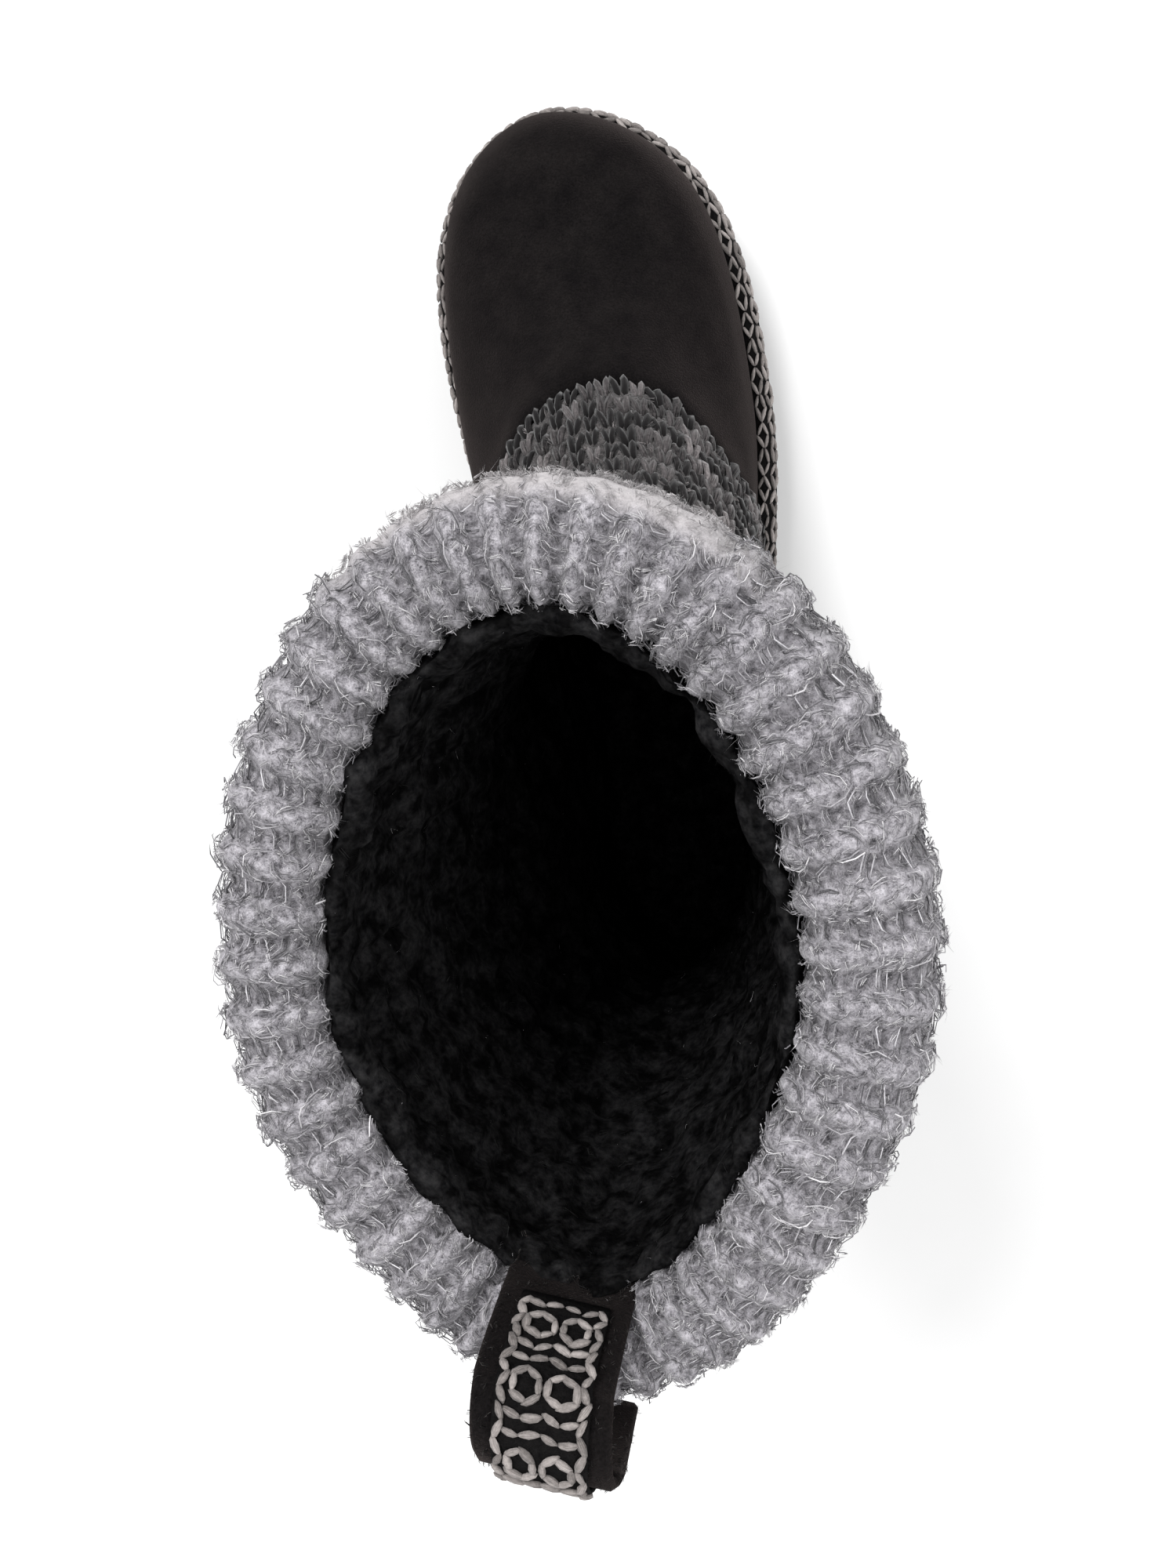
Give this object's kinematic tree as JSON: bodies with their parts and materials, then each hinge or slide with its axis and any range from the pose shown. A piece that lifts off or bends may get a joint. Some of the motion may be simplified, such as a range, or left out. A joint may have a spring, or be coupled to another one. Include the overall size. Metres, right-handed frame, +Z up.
{
  "type": "mukluk boot",
  "caption": "Pull-on mukluk boot for the right foot: suede foot, knit shaft with a thick folded rib-knit cuff, braided trim round a low sole, pull loop at the back.",
  "frame": {"origin": "on the floor, under the middle of the whole boot's bounding box", "axes": "+Y to the toe, +X to the little-toe side, +Z up"},
  "size_m": [0.1346, 0.3036, 0.2731],
  "materials": {
    "rubber": "matt moulded",
    "braid": "crocheted braid",
    "fleece": "curly pile",
    "suede": "napped suede",
    "dark_knit": "marled chunky knit",
    "light_knit": "brushed rib knit"
  },
  "bodies": {
    "root": {"outsole": "rubber", "braid_trim": "braid", "insole": "fleece", "upper": "suede", "shaft": "dark_knit", "cuff": "light_knit", "pull_loop": "suede", "loop_ribbon": "braid"}
  },
  "joints": []
}
